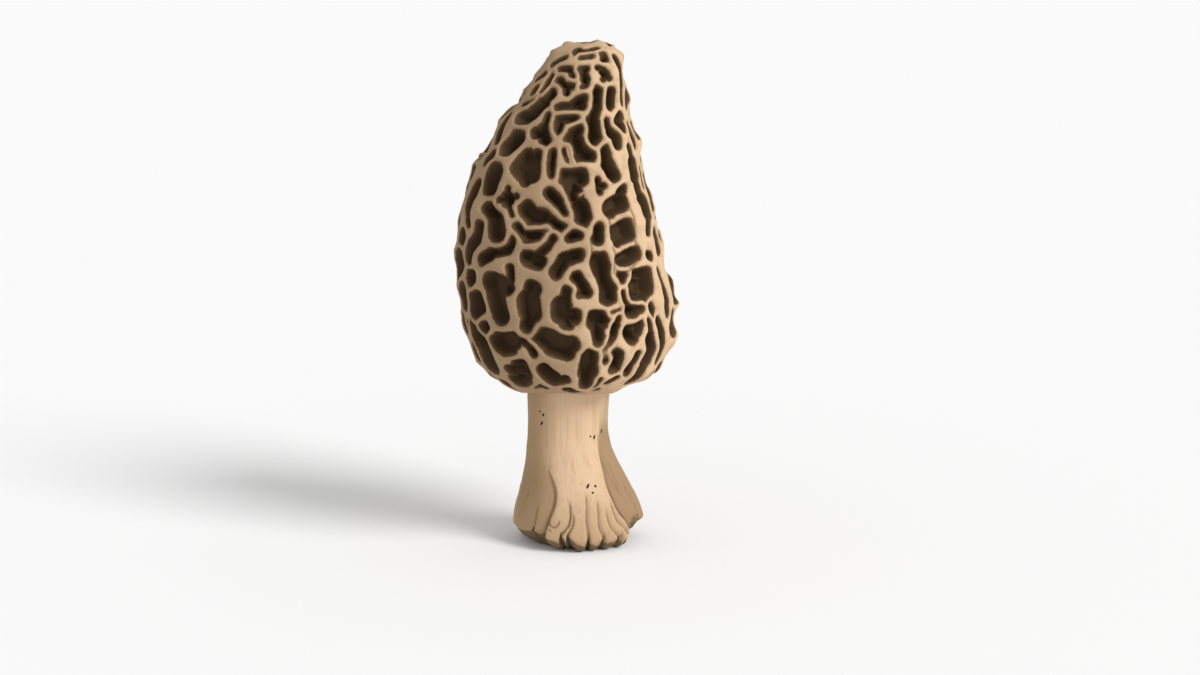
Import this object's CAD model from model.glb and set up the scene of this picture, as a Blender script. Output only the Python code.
import math

import bpy
import numpy as np
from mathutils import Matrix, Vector, noise


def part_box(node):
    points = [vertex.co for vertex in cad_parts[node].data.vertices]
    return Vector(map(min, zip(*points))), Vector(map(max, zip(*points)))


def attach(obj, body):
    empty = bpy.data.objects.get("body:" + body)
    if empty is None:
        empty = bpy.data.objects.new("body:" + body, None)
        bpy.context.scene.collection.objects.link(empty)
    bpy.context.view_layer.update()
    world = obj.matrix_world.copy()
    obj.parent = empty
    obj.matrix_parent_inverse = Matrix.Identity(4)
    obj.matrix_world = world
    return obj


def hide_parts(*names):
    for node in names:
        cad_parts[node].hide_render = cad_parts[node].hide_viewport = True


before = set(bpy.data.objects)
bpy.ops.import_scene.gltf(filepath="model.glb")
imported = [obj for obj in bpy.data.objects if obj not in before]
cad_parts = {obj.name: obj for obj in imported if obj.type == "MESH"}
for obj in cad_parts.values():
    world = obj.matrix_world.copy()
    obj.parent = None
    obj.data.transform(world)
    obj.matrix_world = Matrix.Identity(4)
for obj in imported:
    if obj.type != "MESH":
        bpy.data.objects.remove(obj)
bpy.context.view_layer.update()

MM = 0.001


# The fruit body. A morel grows as one piece of springy flesh, so the hollow stem, the pleated foot
# and the ridged cap are one skin. It is turned from one outline, and then its foot is folded, it is
# leaned along its growing line, and its cap is carved.

TOTAL_HEIGHT = 118.9  # mm, and so is every size below
LIP_HEIGHT = 37.5

# Turned outline as (radius, height): hollow, sole, foot, stem, cap margin, cap.
HOLLOW = [(0.0, 33.0), (3.2, 31.5), (4.6, 26.0), (4.8, 12.0), (5.0, 1.2), (5.6, 0.0)]
SOLE = [(8.5, 0.0), (11.6, 0.0)]
FOOT_AND_STEM = [(13.3, 0.6), (14.35, 2.3), (14.72, 2.8), (14.85, 4.9), (14.4, 8.0), (13.3, 11.6),
                 (11.9, 15.6), (10.75, 18.9), (9.9, 22.5), (9.35, 27.0), (9.45, 32.5), (9.75, 37.6),
                 (10.1, 39.2)]
CAP = [(10.7, 38.9), (11.7, 38.0), (13.2, LIP_HEIGHT), (15.4, 38.1), (18.5, 40.0), (21.6, 43.2), (23.6, 47.2),
       (24.5, 51.5), (25.0, 57.0), (24.8, 62.8), (24.2, 68.8), (23.5, 74.6), (22.6, 79.5), (21.3, 84.2),
       (19.9, 88.7), (18.5, 92.6), (17.0, 96.0), (15.3, 99.8), (13.6, 103.6), (12.1, 107.0), (10.8, 110.0),
       (9.1, 113.2), (6.9, 115.9), (4.1, 117.9), (0.0, TOTAL_HEIGHT)]

# Spacing of the outline's points and the count of its turned copies, before the skin is thinned out.
HOLLOW_STEP = 1.0
STEM_STEP = 0.4
SKIN_STEP = 0.3
COLUMNS = 620
SPAN_SHARES = 12  # points worked out between two listed ones before the even spacing
MERGE_GAP = 0.002  # points nearer than this are one


def smooth_outline(points, step):
    """Return a curve through the points, resampled at even steps along its length."""
    knots = np.array(points, float)
    knots = np.vstack([2 * knots[0] - knots[1], knots, 2 * knots[-1] - knots[-2]])
    share = np.linspace(0.0, 1.0, SPAN_SHARES, endpoint=False)[:, None]
    spans = []
    for before, start, end, after in zip(knots[:-3], knots[1:-2], knots[2:-1], knots[3:]):
        spans.append(0.5 * (2 * start + (end - before) * share
                            + (2 * before - 5 * start + 4 * end - after) * share ** 2
                            + (3 * start - before - 3 * end + after) * share ** 3))
    curve = np.vstack(spans + [knots[-2:-1]])
    run = np.concatenate([[0.0], np.cumsum(np.hypot(*np.diff(curve, axis=0).T))])
    even = np.linspace(0.0, run[-1], max(int(round(run[-1] / step)), 2) + 1)
    return np.column_stack([np.interp(even, run, curve[:, 0]), np.interp(even, run, curve[:, 1])])


def deselect_all():
    bpy.ops.object.select_all(action="DESELECT")


def turn_outline(name, outline):
    """Draw the outline by extruding one vertex, turn it round the upright axis and close its seam."""
    deselect_all()
    bpy.ops.mesh.primitive_plane_add(size=MM)
    piece = bpy.context.object
    piece.name = name
    piece.data.name = name
    bpy.ops.object.mode_set(mode="EDIT")
    bpy.ops.mesh.merge(type="CENTER")
    bpy.ops.transform.translate(value=(outline[0][0] * MM, 0.0, outline[0][1] * MM))
    for start, end in zip(outline[:-1], outline[1:]):
        reach = ((end[0] - start[0]) * MM, 0.0, (end[1] - start[1]) * MM)
        bpy.ops.mesh.extrude_region_move(TRANSFORM_OT_translate={"value": reach})
    bpy.ops.object.mode_set(mode="OBJECT")
    turning = piece.modifiers.new("turn", "SCREW")
    turning.axis = "Z"
    turning.angle = math.tau
    turning.steps = COLUMNS
    turning.render_steps = COLUMNS
    turning.use_merge_vertices = True
    turning.merge_threshold = MERGE_GAP * MM
    bpy.ops.object.modifier_apply(modifier=turning.name)
    bpy.ops.object.mode_set(mode="EDIT")
    bpy.ops.mesh.select_all(action="SELECT")
    bpy.ops.mesh.remove_doubles(threshold=MERGE_GAP * MM)
    bpy.ops.mesh.normals_make_consistent(inside=False)
    bpy.ops.object.mode_set(mode="OBJECT")
    return piece


outline = np.vstack([smooth_outline(HOLLOW, HOLLOW_STEP)[:-1],
                     smooth_outline([HOLLOW[-1]] + SOLE + [FOOT_AND_STEM[0]], STEM_STEP)[:-1],
                     smooth_outline(FOOT_AND_STEM, STEM_STEP)[:-1],
                     smooth_outline([FOOT_AND_STEM[-1]] + CAP, SKIN_STEP)])
morel = turn_outline("morel_skin", outline)


# The foot and the lean. The stem spreads into folds where it held the ground, and a knife cut it
# across. The folds overlap like pleats, and their rims curl up off the floor round a flat cut ring.
# The stem bows a little over the foot, and the crown leans.

DEPTH_SHARE = 0.95  # front to back against side to side

# The growing line, as (height, sideways offset): the stem bows and the crown leans to +X.
GROWING_LINE = [(0.0, 2.45), (6.0, 2.4), (11.3, 2.1), (15.6, 1.4), (18.7, 0.9), (22.3, 0.3), (26.7, 0.0),
                (34.0, 0.1), (42.0, 0.6), (50.0, 0.3), (58.9, -0.2), (66.6, -1.3), (74.3, -2.1), (80.0, -2.5),
                (87.7, -2.1), (91.6, -1.7), (95.5, -0.9), (99.5, -0.2), (103.2, 0.6), (107.2, 1.8),
                (111.2, 3.5), (115.0, 5.0), (TOTAL_HEIGHT, 6.3)]

# Folds, as a depth in millimetres and the (azimuth, height) points a fold runs through from the floor up.
# The skin on the front side of a fold overlaps the skin behind it.
FOLDS = [(1.1, [(-75, 0), (-64, 12)]), (1.2, [(-46, 0), (-41, 10.5)]),
         (2.4, [(-33, 0), (-29.5, 5.2), (-26.5, 7.8), (-22.5, 10.7), (-20.5, 13.6), (-23, 16), (-30, 19)]),
         (1.2, [(-17, 0), (-14, 4.1), (-8, 6.7), (-6, 9.5), (-7, 12.5)]),
         (1.0, [(-10, 0), (-7.5, 4.6), (-3.5, 7.4), (-3, 9.5)]),
         (1.3, [(10, 0), (8, 6.6), (8.5, 9.1), (11.5, 14)]),
         (1.2, [(24.5, 0), (22.5, 3.4), (19, 6.5), (20.5, 10.4), (21.5, 12.5)]),
         (1.1, [(41.5, 0), (37, 3.2), (30, 6), (28, 8.3), (27.5, 10.5)]),
         (1.2, [(54, 0), (46, 4.4), (38, 6.8), (35, 9.6), (34.5, 12)]),
         (2.6, [(58, 0), (49.5, 6.1), (41.5, 9.4), (38.5, 14.4), (43, 19.9), (48.5, 27)]),
         (1.6, [(101, 0), (95, 6), (93, 12.5)]), (1.0, [(119, 0), (115, 4), (116, 9)]),
         (1.9, [(139, 0), (132, 6), (129, 13), (134, 22)]), (1.0, [(158, 0), (161, 5), (158, 10)]),
         (1.6, [(181, 0), (175, 5), (174, 11), (179, 17)]), (1.0, [(199, 0), (204, 4), (204, 7)]),
         (2.0, [(223, 0), (230, 7), (233, 15), (229, 24)]), (1.2, [(246, 0), (243, 5), (246, 11)]),
         (1.5, [(263, 0), (268, 7), (267, 14)])]

# How far the rim of the foot is lifted off the floor, as (azimuth, millimetres): each pleat ends in a tip
# that reaches the floor, with a notch at each fold.
RIM_LIFT = [(-100, 0.8), (-86, 1.6), (-77, 1.7), (-75, 2.6), (-72, 1.4), (-60, 1.5), (-49, 2.2), (-46, 3.6),
            (-43, 2.5), (-36, 2.9), (-33, 3.0), (-31, 1.7), (-27, 1.1), (-21, 0.6), (-18, 0.3), (-16, 3.0),
            (-11, 0.7), (-9.5, 2.9), (-5, 1.4), (0, 0.0), (6, 0.2), (8.5, 1.4), (10, 2.4), (12, 0.0),
            (18, 0.2), (23, 1.4), (24.5, 2.3), (27, 0.0), (34, 0.3), (40, 1.4), (41.5, 2.3), (44, 0.0),
            (50, 0.6), (54, 2.6), (56, 1.2), (58, 3.4), (61, 4.0), (72, 4.0), (84, 3.6), (98, 3.2),
            (101, 4.0), (104, 1.2), (116, 0.4), (119, 2.2), (122, 0.9), (132, 0.3), (139, 3.2), (144, 1.6),
            (156, 0.6), (158, 2.4), (161, 1.2), (174, 0.2), (181, 3.0), (186, 1.4), (197, 0.5), (199, 2.0),
            (202, 0.3), (218, 0.9), (223, 3.4), (229, 1.0), (243, 0.3), (246, 2.6), (249, 1.5), (260, 0.6)]
SOLE_FLAT_RADIUS = 9.4  # the cut face stays flat on the floor inside this radius
RIM_WIDTH = 3.5  # the rim that lifts, outside the flat cut face
RIM_HEIGHT = 7.0  # the lift fades out up to here
TABLE_START = -100.0  # azimuth where the rim's tables begin and end
FOLD_HALF_WIDTH = 0.45
FOLD_EDGE = 0.3  # run over which the skin turns from one side of a fold to the other
FOLD_STEP = 0.8  # spacing of the points along a fold's line
LEAST_RADIUS = 4.0  # distances round the body are measured at this radius or more
FLOOR_TOUCH = 0.01  # skin lower than this lies on the floor
CREASE_SHARE = 0.5  # share of a fold's depth that its crease is cut in
SWELL_SHARE = 0.45  # share that the overlapping skin stands out
SINK_SHARE = 0.3  # share that the skin behind is set in
SWELL_RUN = 1.2  # the swelling dies away over this plus the fold's depth
SINK_RUN = 1.0  # and so does the sinking
FOLD_REACH = 12.0  # no fold is felt farther round than this

CREASE_LINE = 0.22  # half width of the dark line in a crease
CREASE_GAIN = 2.5  # the line stays full until the fold is this many times weaker
STAIN_HALF_WIDTH = 1.3  # half width of the stained skin beside it
DEEP_FOLD = 2.0  # folds deeper than this part a shaded lobe from the pleat over it
LOBE_EDGE = 0.8  # run over which a lobe's shade begins behind its fold
LOBE_RUN = 16.0  # how far round from its fold a lobe is shaded
LOBE_FADE = 6.0  # and the run over which that shade ends
LOBE_TOP_SHARE = 1.25  # height of a shaded lobe as a share of its fold's
LOBE_TOP_FADE = 8.0

# A small wrinkle on the front pleats, as (azimuth, height) points.
WRINKLES = [[(-27.5, 7.0), (-26, 7.2), (-24.5, 6.5), (-22, 6.1), (-19.5, 6.2), (-17.5, 6.9), (-16.5, 7.5)],
            [(-25.5, 5.4), (-24.5, 5.1)]]
WRINKLE_HALF_WIDTH = 0.22
WRINKLE_DEPTH = 0.3

# How far up from the rim the cut flesh shows, as (azimuth, height), and how softly it ends.
CUT_EDGE = [(-100, 1.2), (-86, 1.8), (-72, 2.5), (-60, 2.6), (-48, 2.3), (-46, 3.2), (-42, 1.0), (-33.5, 0.8),
            (-31, 1.8), (-20, 1.6), (-17.5, 1.0), (-16.5, 2.4), (-11, 1.6), (-10, 2.6), (-4, 1.8), (1, 0.6),
            (56, 0.6), (60, 1.0), (62, 2.8), (98, 2.8), (104, 1.2), (259, 1.2)]
CUT_SOFTNESS = 0.3

# The cut end of the lobe on the right, as (azimuth, height) and its half sizes in the same terms.
LOBE_END = (66.0, 4.1)
LOBE_END_HALVES = (9.0, 1.6)
LOBE_END_EDGE = 0.9  # share of the half sizes where the end's edge begins
LOBE_END_SOFTNESS = 0.2

# Fine growth lines that run down the lobes beside the pleats, as (azimuth, height) points.
GROWTH_LINES = [[(47.5, 20.0), (48, 17.6), (50, 15.4), (54, 12.0)], [(57, 19.1), (56.5, 16.2), (59, 12.5)],
                [(66, 15.5), (67, 12.0), (71, 8.0)], [(-70.5, 14.0), (-75, 11.0), (-77.5, 8.5), (-76.5, 6.5)],
                [(-58, 13.0), (-60, 10.0), (-62, 7.5)]]
GROWTH_HALF_WIDTH = 0.18
GROWTH_SHARE = 0.75  # how dark a growth line is against a crease

# Where the stem ends and the cap begins, before the foot is folded.
NARROW_GAP = 0.01
STEM_TOP = FOOT_AND_STEM[-1][1] + NARROW_GAP
FOOT_RADIUS = 14.9  # just over the widest of the foot
STEM_TOP_RADIUS = 10.15  # higher than the stem's middle, wider skin than this is the cap's
STEM_MIDDLE = 30.0
HOLLOW_RADIUS = HOLLOW[-1][0] - NARROW_GAP
AXIS_RADIUS = 0.001  # skin nearer the axis than this is a pole, in the hollow or at the apex
APEX_FROM = 60.0  # the apex's pole is higher than this, and the hollow's is lower


def places_of(piece):
    """Return the piece's vertices in millimetres."""
    flat = np.empty(len(piece.data.vertices) * 3)
    piece.data.vertices.foreach_get("co", flat)
    return flat.reshape(-1, 3) / MM


def put_places(piece, places):
    """Move the piece's vertices to places given in millimetres."""
    piece.data.vertices.foreach_set("co", (places * MM).ravel())
    piece.data.update()


def on_body(radius, height, azimuth):
    """Place outline radii and heights at azimuths in degrees from the front towards +X."""
    line = np.array(GROWING_LINE)
    radius, height, angle = np.broadcast_arrays(radius, height, np.radians(azimuth))
    offset = np.interp(height, line[:, 0], line[:, 1])
    return np.stack([offset + radius * np.sin(angle), -DEPTH_SHARE * radius * np.cos(angle), height], axis=-1)


def ease(value):
    """Rise smoothly from 0 to 1 as the value goes from 0 to 1."""
    held = np.clip(value, 0.0, 1.0)
    return held * held * (3.0 - 2.0 * held)


def round_from_start(azimuth):
    """Return the azimuths as the rim's tables count them."""
    return np.mod(azimuth - TABLE_START, 360.0) + TABLE_START


def fold_line(path, radius, height, azimuth):
    """Return how far round from a fold's line each point lies, and the fold's strength there."""
    curve = smooth_outline(path, FOLD_STEP)
    line = np.interp(height, curve[:, 1], curve[:, 0])
    away = np.radians(np.mod(azimuth - line + 180.0, 360.0) - 180.0) * np.maximum(radius, LEAST_RADIUS)
    return away, np.sqrt(np.clip(1.0 - height / curve[-1, 1], 0.0, 1.0))


def to_overlap(path, away):
    """Turn distances from a fold so that they grow towards the skin that overlaps, the front side's."""
    starts_right = 0 < path[0][0] < 180
    return -away if starts_right else away


def fold_foot(radius, height, azimuth):
    """Put the folds and the lifted rim in, and return the new radius and height."""
    turn = round_from_start(azimuth)
    near_rim = ease((radius - SOLE_FLAT_RADIUS) / RIM_WIDTH)
    side = np.where(height > FLOOR_TOUCH, 1.0, near_rim)
    lift_table = np.array(RIM_LIFT)
    lift = np.interp(turn, lift_table[:, 0], lift_table[:, 1]) * near_rim * (1.0 - ease(height / RIM_HEIGHT))
    push = np.zeros_like(radius)
    for depth, path in FOLDS:
        away, strength = fold_line(path, radius, height, azimuth)
        reach = depth * strength * side
        over = to_overlap(path, away)
        swell = np.exp(-np.clip(over, 0.0, FOLD_REACH) / (SWELL_RUN + depth)) * ease(over / FOLD_EDGE)
        sink = np.exp(-np.clip(-over, 0.0, FOLD_REACH) / (SINK_RUN + depth)) * ease(-over / FOLD_EDGE)
        push -= CREASE_SHARE * reach * np.exp(-(away / FOLD_HALF_WIDTH) ** 2)
        push += (SWELL_SHARE * swell - SINK_SHARE * sink) * reach
    return radius + push, height + lift


def fold_marks(radius, height, azimuth):
    """Return how much each point lies in a fold's crease, in the stained skin beside one, and on a lobe."""
    crease = np.zeros_like(radius)
    stain = np.zeros_like(radius)
    lobe = np.zeros_like(radius)
    for depth, path in FOLDS:
        away, strength = fold_line(path, radius, height, azimuth)
        behind = -to_overlap(path, away)
        crease = np.maximum(crease, ease(CREASE_GAIN * strength) * np.exp(-(away / CREASE_LINE) ** 2))
        stain = np.maximum(stain, strength * np.exp(-(away / STAIN_HALF_WIDTH) ** 2))
        if depth > DEEP_FOLD:
            fade = ease((LOBE_TOP_SHARE * path[-1][1] - height) / LOBE_TOP_FADE)
            shade = ease(behind / LOBE_EDGE) * ease((LOBE_RUN - behind) / LOBE_FADE) * fade
            lobe = np.maximum(lobe, shade)
    return crease, stain, lobe


def on_stem_skin(azimuth, height):
    """Place a listed point on the stem."""
    return on_body(np.interp(height, stem_outline[:, 1], stem_outline[:, 0]), height, azimuth)


def line_mark(points, paths, place, half_width):
    """Return 1 on thin lines through the listed points and 0 away from them."""
    mark = np.zeros(len(points))
    for path in paths:
        stops = [place(*stop) for stop in path]
        for start, end in zip(stops[:-1], stops[1:]):
            along = end - start
            share = np.clip((points - start) @ along / (along @ along), 0.0, 1.0)
            reach = np.linalg.norm(points - start - share[:, None] * along, axis=1)
            mark = np.maximum(mark, np.exp(-(reach / half_width) ** 2))
    return mark


stem_outline = smooth_outline(FOOT_AND_STEM, STEM_STEP)
places = places_of(morel)
radius = np.hypot(places[:, 0], places[:, 1])
height = places[:, 2]
azimuth = np.degrees(np.arctan2(places[:, 0], -places[:, 1]))
under_cap = (radius > STEM_TOP_RADIUS) & (height > STEM_MIDDLE)
below_cap = (height < STEM_TOP) & (radius < FOOT_RADIUS) & ~under_cap
inner_pole = (radius < AXIS_RADIUS) & (height < APEX_FROM)
in_hollow = (below_cap & (radius < HOLLOW_RADIUS)) | inner_pole
on_stem = below_cap & ~in_hollow
is_cap = ~below_cap & ~in_hollow
before_folding = on_body(radius, height, azimuth)
wrinkle = line_mark(before_folding[on_stem], WRINKLES, on_stem_skin, WRINKLE_HALF_WIDTH)
growth = line_mark(before_folding[on_stem], GROWTH_LINES, on_stem_skin, GROWTH_HALF_WIDTH)
crease, stain, lobe = fold_marks(radius[on_stem], height[on_stem], azimuth[on_stem])
fold_mark = np.zeros(len(places))
fold_mark[on_stem] = np.maximum(np.maximum(crease, wrinkle), GROWTH_SHARE * growth)
stain_mark = np.zeros(len(places))
stain_mark[on_stem] = stain
lobe_mark = np.zeros(len(places))
lobe_mark[on_stem] = lobe
cut_mark = np.zeros(len(places))
cut_turn = round_from_start(azimuth[on_stem])
cut_edge = np.interp(cut_turn, [step[0] for step in CUT_EDGE], [step[1] for step in CUT_EDGE])
lobe_end = np.hypot((cut_turn - LOBE_END[0]) / LOBE_END_HALVES[0],
                    (height[on_stem] - LOBE_END[1]) / LOBE_END_HALVES[1])
cut_rim = 1.0 - ease((height[on_stem] - cut_edge) / CUT_SOFTNESS)
cut_lobe = 1.0 - ease((lobe_end - LOBE_END_EDGE) / LOBE_END_SOFTNESS)
cut_mark[on_stem] = np.maximum(cut_rim, cut_lobe)
cut_mark[in_hollow] = 1.0
radius[on_stem], height[on_stem] = fold_foot(radius[on_stem], height[on_stem], azimuth[on_stem])
radius[on_stem] -= WRINKLE_DEPTH * wrinkle
put_places(morel, on_body(radius, height, azimuth))


# The cap. Its skin is thrown into blunt ridges round deep pits. On the front each pit is listed where
# it grew; round the sides and the back pits of the same kinds fill the skin, none touching another.

RIDGE_HALF_WIDTH = 0.5
PIT_DEPTH = 3.4
PIT_WALL = 1.5  # run of a pit's wall, from the ridge down to the pit floor
RIDGE_ROUNDING = 0.35  # how far a ridge's shoulder sits below its crest
FRONT_SPREAD = 0.65  # how far a listed pit spreads beyond its trenches
THIN_SPREAD = 0.4  # share of that spread round the thinnest trenches
FULL_SPREAD_WIDTH = 1.8  # half width from which a trench has its full spread
EDGE_SOFTNESS = 0.45  # blend between a pit's own outline and the ridge it shares with its neighbour
EDGE_WOBBLES = [(0.35, 5.0, 3), (0.16, 2.0, 7)]  # waviness of the pit edges: size, scale, seed
GROWN_SPREAD = 0.9
GROWN_GAP = 1.1  # least clear gap between trenches of neighbouring grown pits
PITLESS_LIP = 2.5  # run of bare skin round the cap's margin
PITLESS_FADE = 2.0  # and the run over which pits and lumps begin
NO_PIT = -3.0  # mark of skin that has no pit near it
# Where pits are grown rather than listed, as (from this height up, first azimuth, last azimuth): the
# back, and then the narrow strips left between the back and the listed pits.
BACK_ARCS = [(0.0, 78.0, 312.0), (74.0, 78.0, 276.0), (110.0, 110.0, 250.0), (116.5, 125.0, 235.0)]
SIDE_ARCS = [(0.0, 180.0, 180.0), (74.0, 84.0, 280.0), (112.0, 86.0, 276.0), (116.0, 115.0, 240.0)]
WIDEST_GIRTH = 25.0
CROWN_GIRTH = 18.0  # where the cap is narrower than this, grown pits get smaller with it
# Grown pits, largest first, as (half width, length, tries, arcs).
PIT_SIZES = [(2.0, 9.0, 4500, BACK_ARCS), (1.6, 7.5, 7500, BACK_ARCS), (1.2, 5.5, 12000, BACK_ARCS),
             (0.8, 3.5, 20000, BACK_ARCS), (0.75, 4.5, 20000, SIDE_ARCS)]
LOWEST_PIT_RUN = 6.5  # how far up the cap's outline the lowest grown pits begin
GROWING_SEED = 11
LUMP_RISE = 1.2
LUMP_SCALE = 7.0
LUMP_SEED = 5
LIP_WAVE = 1.4
LIP_WAVE_SCALE = 9.0
LIP_WAVE_SEED = 9
LIP_WAVE_START = 2.0  # run over which the lip's wave begins
LIP_WAVE_END = 5.0  # run at which it starts to die away
LIP_WAVE_FADE = 8.0  # and the run over which it does
SEED_SPACING = 17.3  # how far apart in noise two seeds are
CAP_STEP = 0.45
WELL_ABOVE_LIP = 50.0  # skin higher than this is on the cap's flank and not under its lip
SKIN_TRIANGLES = 190000

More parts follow.
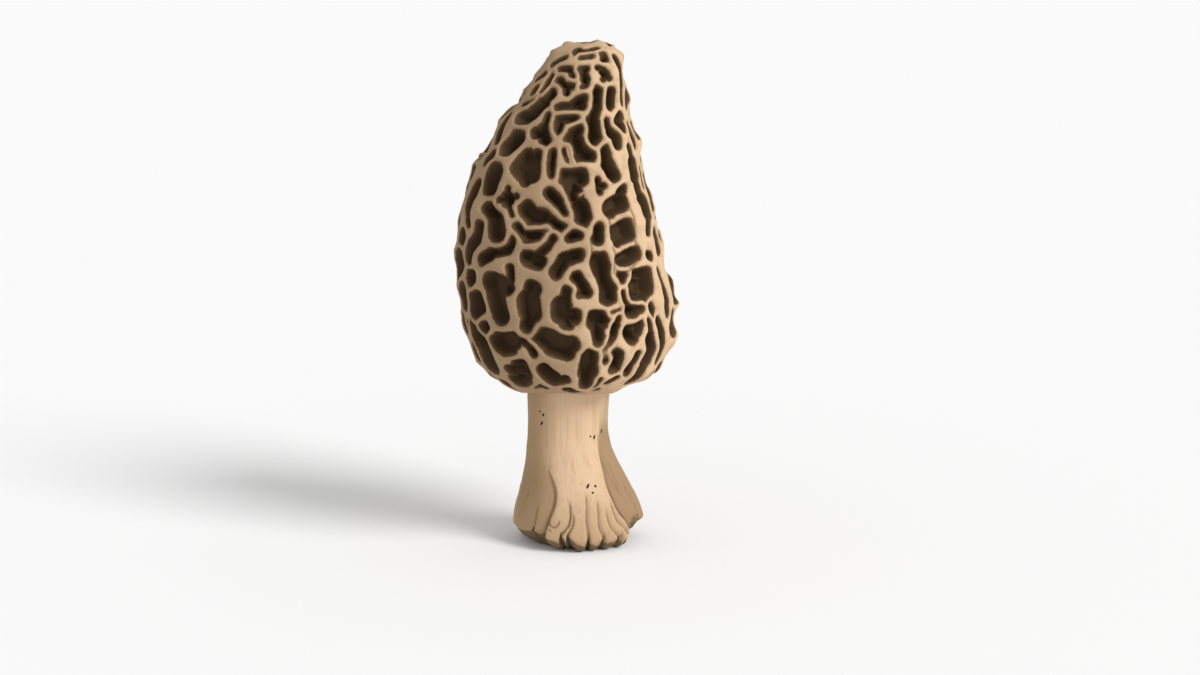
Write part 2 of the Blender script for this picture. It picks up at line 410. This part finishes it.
# Pits on the front of the cap. A pit is one or more trenches, and a trench is its half width in
# millimetres and the (azimuth in degrees, height in millimetres) points that it runs through.
FRONT_PITS = [
    # crown
    [(0.8, (-38, 116.7), (-36, 116.1)), (0.55, (-34, 116.6), (-17, 116.6), (12, 117.5))],
    [(0.6, (-16, 115.5), (9, 115.9))],
    [(0.9, (20, 116.1), (28, 114.9))],
    [(0.55, (-44, 115.3), (-58, 113.2))],
    [(0.7, (-37, 112.5), (-20, 112.7), (-12, 111.3))],
    [(0.6, (-9, 112.9), (3, 112.9)), (0.9, (-1, 112.0), (2, 111.3), (6, 110.4)),
     (0.45, (9, 110.2), (10, 109.5), (7.5, 109.0), (4, 108.9))],
    [(0.5, (18, 113.1), (28, 112.8)), (0.8, (28, 112.2), (33, 111.2)),
     (0.5, (35, 111.1), (39, 110.3)), (0.45, (32, 110.9), (29.5, 110.1))],
    [(0.6, (50, 114.9), (61, 112.3), (61, 108.7), (64, 104.8))],
    [(0.5, (-64, 109.8), (-59, 111.2))],
    [(0.5, (-43, 111.3), (-41, 107.8))],
    [(0.75, (-51, 108.2), (-52, 106.7))],
    [(0.5, (-58, 104.6), (-47, 105.9))],
    [(1.0, (-27, 107.7), (-31, 105.1)), (1.5, (-31, 105.1), (-40, 102.3), (-46, 101.3))],
    [(0.8, (-30, 110.7), (-17, 109.3), (-6, 109.1)), (0.7, (-14, 109.3), (-9, 107.5))],
    # shoulder
    [(0.9, (-12, 104.2), (2, 104.8), (12, 104.9)), (1.0, (2, 105.2), (11, 106.4))],
    [(1.1, (26, 107.9), (25, 104.7)), (1.6, (24, 101.0), (26, 97.9)),
     (1.1, (25.5, 104.7), (24.5, 101.3))],
    [(1.0, (44, 107.3), (43, 104.5))],
    [(0.7, (38, 101.3), (41, 99.5)), (1.1, (43, 98.7), (48, 97.5), (46, 95.8))],
    [(0.8, (57, 101.9), (51, 100.7), (57, 99.0))],
    [(0.7, (68, 99.5), (70, 94.9))],
    [(1.1, (-8, 102.0), (5, 102.3)), (1.0, (-8, 101.7), (-7, 99.7))],
    [(0.8, (-20, 102.7), (-19, 100.3)), (1.4, (-19, 99.5), (-16, 97.7)),
     (1.0, (-19, 99.3), (-26, 98.8))],
    [(1.7, (-42, 97.7), (-47, 94.8))],
    [(0.7, (-70, 101.7), (-66, 98.7), (-62, 95.9))],
    [(1.2, (11, 99.7), (4, 98.1)), (1.5, (9, 97.5), (12, 95.2)),
     (1.2, (11, 93.8), (23, 94.0), (17, 95.2))],
    [(0.7, (2, 95.4), (6, 93.0))],
    [(0.75, (-7, 95.2), (-6, 92.5), (-4, 90.1))],
    [(2.1, (-23, 92.7), (-21, 90.6)), (1.2, (-18.5, 94.2), (-16.5, 89.8)),
     (1.2, (-26.5, 94.2), (-30.5, 91.1), (-21, 88.7)), (1.2, (-19, 89.3), (-16.5, 89.5)),
     (1.6, (-26.5, 92.2), (-24, 91.0))],
    [(0.9, (34, 95.4), (35, 93.0)), (1.1, (36, 92.0), (41, 88.9))],
    [(0.6, (28.5, 88.7), (28, 86.1)), (0.6, (29, 87.0), (33, 87.2))],
    [(0.6, (59.5, 94.6), (59.5, 92.0)), (1.4, (60, 90.9), (61, 88.4)),
     (0.7, (61.5, 86.7), (63, 84.3)), (1.3, (64, 82.7), (64, 79.5)),
     (0.6, (62.5, 77.7), (61, 75.3))],
    [(0.6, (70, 88.8), (70, 85.5))],
    # upper belly
    [(2.3, (-47.5, 89.3), (-50, 86.9))],
    [(0.55, (-38, 83.7), (-32, 84.4), (-25.5, 85.0)),
     (0.45, (-32.5, 86.6), (-32, 84.4), (-26, 81.0)), (1.4, (-32, 84.4), (-31, 83.9))],
    [(1.0, (-64, 91.5), (-58, 93.1))],
    [(1.1, (-64, 86.1), (-63.5, 82.7), (-63, 77.9))],
    [(1.3, (-46.5, 81.8), (-39, 80.2)), (2.0, (-37, 79.1), (-35.5, 76.2))],
    [(1.25, (-50.5, 77.4), (-52.5, 74.7), (-60, 72.0), (-62, 69.3))],
    [(1.2, (-47, 69.9), (-40, 71.5)), (0.9, (-40, 71.5), (-29, 72.9), (-25, 75.5))],
    [(1.1, (-22, 78.5), (-20, 76.9)), (1.5, (-17, 76.5), (-11, 76.7)),
     (0.7, (-11, 77.1), (-7, 78.0))],
    [(1.9, (-18, 82.3), (-15, 80.7), (-8, 80.5)), (1.2, (-6, 80.3), (3, 78.7))],
    [(1.1, (-4, 85.9), (1, 84.3)), (0.8, (1, 84.3), (5, 81.5))],
    [(1.9, (6, 89.8), (14, 89.6)), (1.6, (9, 88.2), (11, 85.5)), (1.8, (14, 83.1), (17, 80.4))],
    [(1.75, (35, 82.1), (45.5, 83.0)), (1.0, (44.5, 84.8), (48, 85.8))],
    [(1.0, (70, 74.7), (70, 70.9))],
    [(0.7, (56, 70.3), (58, 69.9))],
    [(1.0, (26, 78.1), (24, 75.6)), (1.2, (23.5, 75.4), (23, 75.0))],
    [(1.1, (36.5, 77.3), (46.5, 78.1), (46, 75.2), (37, 74.5)), (1.5, (37.5, 75.9), (44.5, 76.5))],
    [(1.6, (37, 70.2), (46, 71.6))],
    [(1.2, (8, 76.3), (11.5, 76.7))],
    [(0.8, (-2.5, 76.1), (-6, 74.2), (-11.5, 72.0)), (1.5, (-17, 71.3), (-11, 70.7))],
    [(1.3, (10.5, 72.0), (3, 71.2), (-2, 68.3))],
    [(1.85, (22, 71.1), (25.5, 66.9), (24.5, 62.5))],
    # lower belly
    [(2.3, (-39.5, 65.0), (-38.5, 60.7)), (2.3, (-38.5, 60.7), (-38, 57.6)),
     (0.7, (-28.2, 68.8), (-28, 66.5), (-30, 64.6)), (1.3, (-43.5, 64.9), (-41, 62.9)),
     (1.5, (-35, 65.3), (-31, 64.3))],
    [(1.6, (-16, 64.5), (-19, 61.4)), (2.4, (-19, 61.4), (-19.3, 58.8)),
     (1.6, (-19.3, 58.5), (-21, 55.6)), (0.6, (-20, 55.7), (-20.8, 54.3))],
    [(1.2, (3, 64.1), (1, 62.3)), (1.9, (-1.5, 60.9), (-2, 58.8)), (1.5, (-2, 58.4), (4.5, 58.2)),
     (1.2, (0, 57.1), (0, 56.1))],
    [(1.2, (9, 67.1), (11, 64.7)), (0.95, (8.5, 63.5), (12.5, 63.5), (11, 64.9))],
    [(1.0, (31.5, 67.1), (37, 67.1), (34, 66.2))],
    [(1.1, (43, 66.6), (53.5, 66.5), (53, 62.3), (47, 61.1), (41, 62.0), (43, 66.6)),
     (1.8, (43.5, 64.4), (48.5, 64.2))],
    [(0.65, (65, 66.4), (68, 60.9), (70, 55.6))],
    [(0.6, (34, 62.9), (35.5, 60.5)), (1.35, (36, 58.8), (39.5, 58.4)),
     (1.0, (39.5, 58.5), (44, 58.8))],
    [(0.8, (53, 59.3), (55, 57.1))],
    [(0.3, (25, 58.7), (30, 59.2))],
    [(1.9, (15, 57.1), (19, 57.1)), (1.2, (16, 55.3), (17, 52.5))],
    [(0.5, (29.5, 57.6), (28, 55.4)), (0.95, (27.5, 55.2), (25.5, 53.2)),
     (0.8, (24.5, 52.6), (21.5, 50.5), (21.5, 47.3))],
    [(0.7, (35.5, 54.4), (43, 55.4), (41, 53.4)), (1.2, (36, 53.6), (37.5, 52.3))],
    [(1.2, (24.5, 49.5), (28, 48.3), (28, 44.9))],
    [(0.7, (41.5, 48.3), (39, 45.5), (38, 43.1))],
    [(0.6, (50, 55.7), (50, 53.3)), (1.2, (50, 51.7), (53, 48.7), (50, 45.5)),
     (0.8, (49, 44.3), (45, 40.7))],
    [(0.8, (58.5, 55.1), (61.5, 52.1), (63, 48.7), (62.5, 45.4))],
    [(0.6, (62, 42.3), (50, 38.9))],
    [(0.7, (26, 41.4), (31, 42.3))],
    [(0.5, (19, 42.7), (17.5, 40.0))],
    [(0.7, (21, 39.3), (22, 39.1))],
    [(1.95, (12, 48.3), (11, 44.5)), (1.5, (10.5, 43.3), (11, 41.4))],
    [(2.4, (-12.5, 52.9), (-0.3, 51.6)), (1.2, (-13.5, 54.3), (-17, 52.7)),
     (1.6, (-9, 50.5), (-1, 49.5))],
    [(1.8, (-40, 51.3), (-31, 51.7)), (1.3, (-45, 50.8), (-38, 49.4), (-33, 49.6)),
     (0.7, (-29, 52.3), (-25, 52.1), (-21.5, 50.7), (-20, 48.6))],
    [(1.6, (-30, 45.8), (-28.5, 43.5)), (1.5, (-37, 44.0), (-32, 43.2)),
     (1.3, (-40, 41.2), (-28.5, 41.4))],
    [(1.6, (-14.5, 44.6), (-10, 43.1)), (1.0, (-9, 42.4), (-3, 42.7))],
    [(0.5, (-24, 40.3), (-20, 40.9), (-16, 40.3))],
    [(0.8, (-0.5, 40.1), (8, 38.9))],
]

# Knobs of the ridges that stand proud, and dips, as (azimuth, height, spread, rise) in degrees and mm.
KNOBS = [(-88, 117.2, 1.4, 1.0), (88, 117.3, 1.8, -1.9), (-88, 115.4, 1.9, 1.1), (-88, 113.0, 1.5, 0.8),
         (-88, 110.8, 2.0, 0.8), (-88, 107.5, 4.0, -0.8), (-88, 104.3, 1.8, -1.8), (-88, 99.3, 2.6, 0.4),
         (-88, 94.2, 2.8, -4.2), (-88, 84.6, 1.5, 0.9), (-88, 82.5, 5.0, -1.0), (88, 111.5, 2.8, -1.0),
         (88, 104.5, 3.0, 0.2), (88, 94.8, 2.5, 0.5), (88, 86.5, 2.4, -0.7), (88, 80.3, 2.0, 0.7),
         (88, 76.3, 1.8, -1.5), (88, 67.8, 2.4, -2.0), (88, 67.0, 3.0, -1.5), (88, 61.8, 2.0, 1.3),
         (88, 57.0, 1.8, 1.4), (88, 53.0, 2.5, -0.1), (80, 49.5, 2.5, 1.1), (85, 40.5, 3.0, 0.9),
         (42, 79.6, 1.8, -0.9), (42, 73.7, 1.8, -0.9), (40, 68.8, 1.6, -0.8), (25, 73.9, 1.6, -0.6)]

# Thin spurs of flesh that stand inside pits, from (azimuth, height) to (azimuth, height).
SPURS = [((22, 86.8), (14.5, 85.4)), ((2.5, 96.3), (8, 92.3))]
SPUR_HALF_WIDTH = 0.3

# Thin seams where a cross ridge runs under an upright one, as lists of (azimuth, height).
SEAMS = [[(50.5, 81.3), (51.5, 79.4), (48.5, 75.5), (50, 72.3), (46.5, 69.4), (39.5, 67.5)],
         [(33, 80.4), (33, 77.8)], [(32, 73.4), (33, 71.7), (30, 67.6)], [(19, 75.6), (18.5, 72.9)]]
SEAM_HALF_WIDTH = 0.25
SEAM_DEPTH = 0.4
SEAM_FADE = 0.3  # a seam ends within this run of a pit's edge

cap_outline = smooth_outline(CAP, CAP_STEP)
cap_run = np.arange(len(cap_outline)) * CAP_STEP
flank_start = int(np.argmin(cap_outline[:, 1]))
flank = cap_outline[flank_start:]


def outward_of(piece):
    """Return the outward direction at each of the piece's vertices."""
    flat = np.empty(len(piece.data.vertices) * 3)
    piece.data.vertices.foreach_get("normal", flat)
    return flat.reshape(-1, 3)


def wobble(points, scale, seed):
    """Return a smooth random vector for each point, with features of about the given scale."""
    return np.array([noise.noise_vector(tuple(p)) for p in points / scale + seed * SEED_SPACING])


def on_cap(azimuth, height):
    """Place a listed point on the cap."""
    return on_body(np.interp(height, flank[:, 1], flank[:, 0]), height, azimuth)


def listed_pits():
    """Turn the listed front pits into segments: (start, end, half width, pit number, spread)."""
    segments = []
    for number, pit in enumerate(FRONT_PITS):
        for half_width, *path in pit:
            stops = [on_cap(azimuth, height) for azimuth, height in path]
            thickness = min(1.0, half_width / FULL_SPREAD_WIDTH)
            spread = FRONT_SPREAD * (THIN_SPREAD + (1.0 - THIN_SPREAD) * thickness)
            for start, end in zip(stops[:-1], stops[1:]):
                segments.append((start, end, half_width, number, spread))
    return segments


def least_gap(points, starts, ends, halves):
    """Return the least clear distance from any of the points to any of the trenches."""
    along = ends - starts
    share = np.einsum("pij,ij->pi", points[:, None] - starts[None], along)
    share = np.clip(share / np.maximum((along ** 2).sum(axis=1), 1e-9), 0.0, 1.0)
    reach = np.linalg.norm(points[:, None] - starts[None] - share[..., None] * along[None], axis=2)
    return (reach - halves).min()


def grow_pits(segments):
    """Fill the sides and back with pits of the same kinds, largest first, never touching another."""
    rng = np.random.default_rng(GROWING_SEED)
    starts = np.array([segment[0] for segment in segments])
    ends = np.array([segment[1] for segment in segments])
    halves = np.array([segment[2] for segment in segments])
    number = segments[-1][3]
    for half_width, length, tries, arcs in PIT_SIZES:
        for _ in range(tries):
            run = rng.uniform(LOWEST_PIT_RUN, cap_run[-1] - 1.5)
            azimuth = rng.uniform(0.0, 360.0)
            scale = rng.uniform(0.8, 1.25)
            share = rng.uniform(0.2, 1.0)
            lean = rng.normal()
            bend = rng.normal()
            girth = np.interp(run, cap_run, cap_outline[:, 0])
            if rng.uniform(0.0, WIDEST_GIRTH) > girth:
                continue
            height = np.interp(run, cap_run, cap_outline[:, 1])
            first, last = [arc[1:] for arc in arcs if height >= arc[0]][-1]
            if not first < azimuth < last:
                continue
            crown = float(np.clip(girth / CROWN_GIRTH, 0.4, 1.0))
            half = half_width * crown * scale
            middle = on_body(girth, height, azimuth)
            if least_gap(middle[None], starts, ends, halves) < half + GROWN_GAP:
                continue
            reach = 0.5 * length * crown * share
            path = []
            for way, turn in ((-1.0, lean - bend), (0.0, 0.0), (1.0, lean + bend)):
                across = way * reach * math.sin(0.5 * turn)
                place = run + way * reach * math.cos(0.5 * turn)
                radius = max(np.interp(place, cap_run, cap_outline[:, 0]), 1.0)
                height = np.interp(place, cap_run, cap_outline[:, 1])
                path.append(on_body(radius, height, azimuth + math.degrees(across / max(radius, 3.0))))
            probe = np.array([path[0], (path[0] + path[1]) / 2, path[1], (path[1] + path[2]) / 2, path[2]])
            if least_gap(probe, starts, ends, halves) < half + GROWN_GAP:
                continue
            number += 1
            for start, end in zip(path[:-1], path[1:]):
                segments.append((start, end, half, number, GROWN_SPREAD))
                starts = np.vstack([starts, start])
                ends = np.vstack([ends, end])
                halves = np.append(halves, half)
    return segments


def segment_distance(points, start, end):
    """Return each point's distance from the segment between start and end."""
    along = end - start
    share = np.clip((points - start) @ along / max(along @ along, 1e-9), 0.0, 1.0)
    return np.linalg.norm(points - start - share[:, None] * along, axis=1)


def pit_share(points):
    """Return how far inside a pit's edge each point lies, in millimetres, and below 0 on a ridge."""
    far = 9.0
    near_enough = 4.0
    warped = points + sum(size * wobble(points, scale, seed) for size, scale, seed in EDGE_WOBBLES)
    own = np.full(len(points), far)
    other = np.full(len(points), far)
    spread = np.zeros(len(points))
    owner = np.full(len(points), -1)
    for start, end, half_width, number, reach in grow_pits(listed_pits()):
        limit = half_width + near_enough + np.linalg.norm(end - start) / 2
        near = np.flatnonzero((np.abs(warped - (start + end) / 2) < limit).all(axis=1))
        distance = segment_distance(warped[near], start, end) - half_width
        same = owner[near] == number
        closer = distance < own[near]
        pushed = near[closer & ~same]
        other[pushed] = own[pushed]
        rest = near[~closer & ~same]
        other[rest] = np.minimum(other[rest], distance[~closer & ~same])
        own[near[closer]] = distance[closer]
        owner[near[closer]] = number
        spread[near[closer]] = reach
    by_ridge = (other - own) / 2 - RIDGE_HALF_WIDTH
    by_spread = spread - own
    mix = np.clip(0.5 + 0.5 * (by_ridge - by_spread) / EDGE_SOFTNESS, 0.0, 1.0)
    inside = by_ridge * (1 - mix) + by_spread * mix - EDGE_SOFTNESS * mix * (1 - mix)
    for foot, tip in SPURS:
        spur = segment_distance(points, on_cap(*foot), on_cap(*tip)) - SPUR_HALF_WIDTH
        inside = np.minimum(inside, spur)
    return inside


def knob_rise(points):
    """Return how far the knobs and dips move each point outwards."""
    rise = np.zeros(len(points))
    for azimuth, height, spread, lift in KNOBS:
        distance = np.linalg.norm(points - on_cap(azimuth, height), axis=1)
        rise += lift * np.exp(-(distance / spread) ** 2)
    return rise


outward = outward_of(morel)[is_cap]
skin = places_of(morel)[is_cap]
on_flank = (height[is_cap] > WELL_ABOVE_LIP) | (radius[is_cap] > CAP[2][0])
flank_run = np.interp(height[is_cap], flank[:, 1], cap_run[flank_start:])
under_run = np.interp(radius[is_cap], cap_outline[:flank_start + 1, 0], cap_run[:flank_start + 1])
run = np.where(on_flank, flank_run, under_run)
pitted = ease((run - PITLESS_LIP) / PITLESS_FADE)
inside = pit_share(skin)
carve = PIT_DEPTH * ease(inside / PIT_WALL) + RIDGE_ROUNDING * ease(1.0 + inside / RIDGE_HALF_WIDTH)
lumps = LUMP_RISE * wobble(skin, LUMP_SCALE, LUMP_SEED)[:, 0] + knob_rise(skin)
seam = line_mark(skin, SEAMS, on_cap, SEAM_HALF_WIDTH) * (1.0 - ease(inside / SEAM_FADE))
lumps -= SEAM_DEPTH * seam
lip = LIP_WAVE * wobble(skin * (1.0, 1.0, 0.3), LIP_WAVE_SCALE, LIP_WAVE_SEED)[:, 1]
skin = skin + outward * ((lumps - carve) * pitted)[:, None]
skin[:, 2] += lip * ease(run / LIP_WAVE_START) * (1.0 - ease((run - LIP_WAVE_END) / LIP_WAVE_FADE))
places = places_of(morel)
places[is_cap] = skin
put_places(morel, places)

pit_mark = np.full(len(places), NO_PIT)
pit_mark[is_cap] = np.where(pitted > 0.2, inside, NO_PIT)
fold_mark[is_cap] = seam
for mark_name, mark in [("pit", pit_mark), ("cap", is_cap * 1.0), ("fold", fold_mark),
                        ("stain", stain_mark), ("lobe", lobe_mark), ("cut", cut_mark)]:
    layer = morel.data.attributes.new(mark_name, "FLOAT", "POINT")
    layer.data.foreach_set("value", mark.astype(np.float32))

thin = morel.modifiers.new("thin out", "DECIMATE")
whole = sum(len(face.vertices) - 2 for face in morel.data.polygons)
thin.ratio = SKIN_TRIANGLES / whole
bpy.context.view_layer.objects.active = morel
bpy.ops.object.modifier_apply(modifier=thin.name)

# Seat the skin exactly in the body's own box.
low, high = (np.array(corner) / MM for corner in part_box("morel"))
places = places_of(morel)
drawn_low = places.min(axis=0)
seat = (high - low) / (places.max(axis=0) - drawn_low)
put_places(morel, low + (places - drawn_low) * seat)
deselect_all()
morel.select_set(True)
bpy.ops.object.shade_smooth()


# The flesh. Ridges are tan and dry to a darker brown on the shaded side, pits are dark brown with a
# paler rim, and the stem is cream with faint lengthwise streaks and a few dark flecks.

RIDGE_PALE = (0.66, 0.46, 0.285)
RIDGE_TAN = (0.36, 0.24, 0.14)
PIT_RIM = (0.17, 0.098, 0.045)
PIT_DARK = (0.085, 0.048, 0.021)
PIT_WARM = (0.12, 0.066, 0.028)
PIT_FLOOR = (0.058, 0.033, 0.016)
STEM_CREAM = (0.74, 0.53, 0.345)
STEM_TAN = (0.52, 0.35, 0.205)
STEM_STAIN = (0.40, 0.25, 0.125)
LOBE_TAN = (0.30, 0.19, 0.10)
STEM_SHADE = (0.36, 0.23, 0.115)
CREASE_BROWN = (0.14, 0.09, 0.045)
CUT_BROWN = (0.18, 0.13, 0.082)
FLECK_BROWN = (0.05, 0.02, 0.006)

# Flecks on the stem, as (azimuth, height, length in mm, lean in degrees).
FLECKS = [(-43, 32.3, 0.5, -20), (-37, 31.6, 0.8, 35), (-40, 29.5, 1.3, 35), (57, 27.2, 1.2, 30),
          (34, 26.5, 0.5, 60), (40, 26.2, 1.2, 25), (15.6, 15.5, 1.4, 30), (24, 15.4, 0.7, 0),
          (19, 14.0, 0.6, 20)]
FLECK_HALF_WIDTH = 0.3
FLECK_REACH = 2.0  # how deep into the skin and out of it a fleck counts

flesh = bpy.data.materials.new("flesh")
flesh.use_nodes = True
nodes = flesh.node_tree.nodes
links = flesh.node_tree.links
shader = nodes["Principled BSDF"]
coords = nodes.new("ShaderNodeTexCoord").outputs["Object"]


def attribute(name):
    """Return one of the marks that the skin carries."""
    node = nodes.new("ShaderNodeAttribute")
    node.attribute_name = name
    return node.outputs["Fac"]


def noise_of(scale, detail=3.0, stretch=(1.0, 1.0, 1.0), rough=0.5):
    """Noise on the body's own coordinates, with scale in features per metre."""
    mapping = nodes.new("ShaderNodeMapping")
    mapping.inputs["Scale"].default_value = stretch
    links.new(coords, mapping.inputs["Vector"])
    texture = nodes.new("ShaderNodeTexNoise")
    texture.inputs["Scale"].default_value = scale
    texture.inputs["Detail"].default_value = detail
    texture.inputs["Roughness"].default_value = rough
    links.new(mapping.outputs["Vector"], texture.inputs["Vector"])
    return texture.outputs["Fac"]


def set_or_link(value, socket):
    """Set a plain value on a socket, or link another socket to it."""
    if isinstance(value, bpy.types.NodeSocket):
        links.new(value, socket)
    else:
        socket.default_value = value


def maths(operation, first, second=0.0, third=0.0):
    """Return the result of one sum on values or sockets."""
    node = nodes.new("ShaderNodeMath")
    node.operation = operation
    for value, socket in zip((first, second, third), node.inputs):
        set_or_link(value, socket)
    return node.outputs["Value"]


def spread_over(value, low, high):
    """Map low..high to 0..1, held at both ends and eased."""
    node = nodes.new("ShaderNodeMapRange")
    node.interpolation_type = "SMOOTHSTEP"
    links.new(value, node.inputs["Value"])
    node.inputs["From Min"].default_value = min(low, high)
    node.inputs["From Max"].default_value = max(low, high)
    if low > high:
        node.inputs["To Min"].default_value = 1.0
        node.inputs["To Max"].default_value = 0.0
    return node.outputs["Result"]


def blend(share, under, over):
    """Lay one colour over another by a share from 0 to 1."""
    node = nodes.new("ShaderNodeMix")
    node.data_type = "RGBA"
    colour_ins = [socket for socket in node.inputs if socket.type == "RGBA"]
    set_or_link(share, node.inputs[0])
    for colour, socket in zip((under, over), colour_ins):
        set_or_link(colour if isinstance(colour, bpy.types.NodeSocket) else (*colour, 1.0), socket)
    return [socket for socket in node.outputs if socket.type == "RGBA"][0]


def fleck(azimuth, height, length, lean):
    """Return 1 inside a small slit-shaped fleck on the stem and 0 outside it."""
    place = (low + (on_stem_skin(azimuth, height) - drawn_low) * seat) * MM
    node = nodes.new("ShaderNodeMapping")
    node.vector_type = "TEXTURE"
    node.inputs["Location"].default_value = place
    node.inputs["Rotation"].default_value = (0.0, math.radians(lean), math.radians(azimuth))
    node.inputs["Scale"].default_value = (FLECK_HALF_WIDTH * MM, FLECK_REACH * MM, 0.5 * length * MM)
    links.new(coords, node.inputs["Vector"])
    size = nodes.new("ShaderNodeVectorMath")
    size.operation = "LENGTH"
    links.new(node.outputs["Vector"], size.inputs[0])
    return spread_over(size.outputs["Value"], 1.15, 0.7)


split = nodes.new("ShaderNodeSeparateXYZ")
links.new(coords, split.inputs["Vector"])
across = split.outputs["X"]
upward = split.outputs["Z"]

pit_depth = maths("MULTIPLY_ADD", maths("SUBTRACT", noise_of(900.0), 0.5), 0.3, attribute("pit"))
shaded = maths("MULTIPLY_ADD", noise_of(90.0, 2.0), 0.6, spread_over(across, 0.022, -0.02))
ridge = blend(spread_over(shaded, 0.35, 1.05), RIDGE_PALE, RIDGE_TAN)
ridge = blend(maths("MULTIPLY", spread_over(noise_of(420.0), 0.5, 0.75), 0.5), ridge, RIDGE_TAN)
ridge = blend(maths("MULTIPLY", spread_over(pit_depth, -0.55, -0.15), 0.45), ridge, RIDGE_TAN)
rimmed = blend(spread_over(pit_depth, -0.2, 0.0), ridge, PIT_RIM)
walls = blend(spread_over(noise_of(260.0, 2.0), 0.45, 0.7), PIT_DARK, PIT_WARM)
cap_colour = blend(spread_over(pit_depth, -0.05, 0.12), rimmed, walls)
cap_colour = blend(maths("MULTIPLY", spread_over(pit_depth, 0.05, 0.55), 0.8), cap_colour, PIT_FLOOR)

streaks = noise_of(700.0, 3.0, (1.0, 1.0, 0.04))
stem_colour = blend(maths("MULTIPLY", spread_over(streaks, 0.5, 0.8), 0.7), STEM_CREAM, STEM_TAN)
stem_shade = maths("MULTIPLY_ADD", noise_of(120.0, 2.0), 0.3, spread_over(across, -0.001, -0.008))
stem_colour = blend(maths("MULTIPLY", stem_shade, 0.75), stem_colour, STEM_SHADE)
stem_colour = blend(maths("MULTIPLY", attribute("stain"), 0.55), stem_colour, STEM_STAIN)
stem_colour = blend(maths("MULTIPLY", spread_over(upward, 0.018, 0.003), 0.9), stem_colour, STEM_TAN)
hairlines = spread_over(noise_of(2200.0, 2.0, (1.0, 1.0, 0.012)), 0.54, 0.75)
right_side = maths("MULTIPLY_ADD", spread_over(across, 0.0, 0.008), 0.4, 0.45)
stem_colour = blend(maths("MULTIPLY", attribute("lobe"), right_side), stem_colour, LOBE_TAN)
stem_colour = blend(maths("MULTIPLY", hairlines, 0.3), stem_colour, STEM_SHADE)
stem_colour = blend(maths("MULTIPLY", attribute("fold"), 0.8), stem_colour, CREASE_BROWN)
for place in FLECKS:
    stem_colour = blend(fleck(*place), stem_colour, FLECK_BROWN)
stem_colour = blend(attribute("cut"), stem_colour, CUT_BROWN)
cut_border = maths("MULTIPLY", attribute("cut"), maths("SUBTRACT", 1.0, attribute("cut")))
stem_colour = blend(maths("MULTIPLY", cut_border, 3.2), stem_colour, CREASE_BROWN)
cap_colour = blend(maths("MULTIPLY", attribute("fold"), 0.8), cap_colour, PIT_RIM)
links.new(blend(attribute("cap"), stem_colour, cap_colour), shader.inputs["Base Color"])
shader.inputs["Roughness"].default_value = 0.7
shader.inputs["Specular IOR Level"].default_value = 0.12

grain = nodes.new("ShaderNodeBump")
grain.inputs["Strength"].default_value = 0.25
grain.inputs["Distance"].default_value = 0.3 * MM
links.new(noise_of(1500.0, 4.0), grain.inputs["Height"])
links.new(grain.outputs["Normal"], shader.inputs["Normal"])
morel.data.materials.append(flesh)

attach(morel, "root")
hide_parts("morel")


# The floor and the light: a pale seamless floor, a large soft key lamp high on the right, and a
# white surround that fills the shaded side.

FLOOR_SIZE = 8.0  # metres
PAPER_WHITE = (0.92, 0.92, 0.92)
SURROUND_WHITE = (1.0, 1.0, 1.0)
SURROUND_STRENGTH = 0.62
KEY_TILT = math.radians(52)
KEY_TURN = math.radians(55)
KEY_STRENGTH = 2.15
KEY_SPREAD = math.radians(25)

deselect_all()
bpy.ops.mesh.primitive_plane_add(size=FLOOR_SIZE)
floor = bpy.context.object
floor.name = "floor"
paper = bpy.data.materials.new("paper")
paper.use_nodes = True
paper_shader = paper.node_tree.nodes["Principled BSDF"]
paper_shader.inputs["Base Color"].default_value = (*PAPER_WHITE, 1.0)
paper_shader.inputs["Roughness"].default_value = 0.9
paper_shader.inputs["Specular IOR Level"].default_value = 0.0
floor.data.materials.append(paper)

surround = bpy.data.worlds.new("surround")
surround.use_nodes = True
surround.node_tree.nodes["Background"].inputs["Color"].default_value = (*SURROUND_WHITE, 1.0)
surround.node_tree.nodes["Background"].inputs["Strength"].default_value = SURROUND_STRENGTH
bpy.context.scene.world = surround

deselect_all()
bpy.ops.object.light_add(type="SUN", rotation=(KEY_TILT, 0.0, KEY_TURN))
key_lamp = bpy.context.object
key_lamp.name = "key_lamp"
key_lamp.data.energy = KEY_STRENGTH
key_lamp.data.angle = KEY_SPREAD


# The camera: a long lens, a little above the middle of the mushroom and looking slightly down.

LENS = 100.0
ELEVATION = math.radians(12.0)
DISTANCE = 0.783  # metres from the point aimed at
AIM_ON_BODY = (7.5, 0.0, 48.5)  # that point, in the millimetres that the body is drawn in
NEAREST_SEEN = 0.01

aim = Vector(((np.array(AIM_ON_BODY) - drawn_low) * seat + low) * MM)
bpy.ops.object.camera_add(location=aim + DISTANCE * Vector((0.0, -math.cos(ELEVATION), math.sin(ELEVATION))),
                          rotation=(math.pi / 2 - ELEVATION, 0.0, 0.0))
camera = bpy.context.object
camera.name = "camera"
camera.data.lens = LENS
camera.data.clip_start = NEAREST_SEEN
bpy.context.scene.camera = camera
bpy.context.scene.view_settings.view_transform = "Standard"
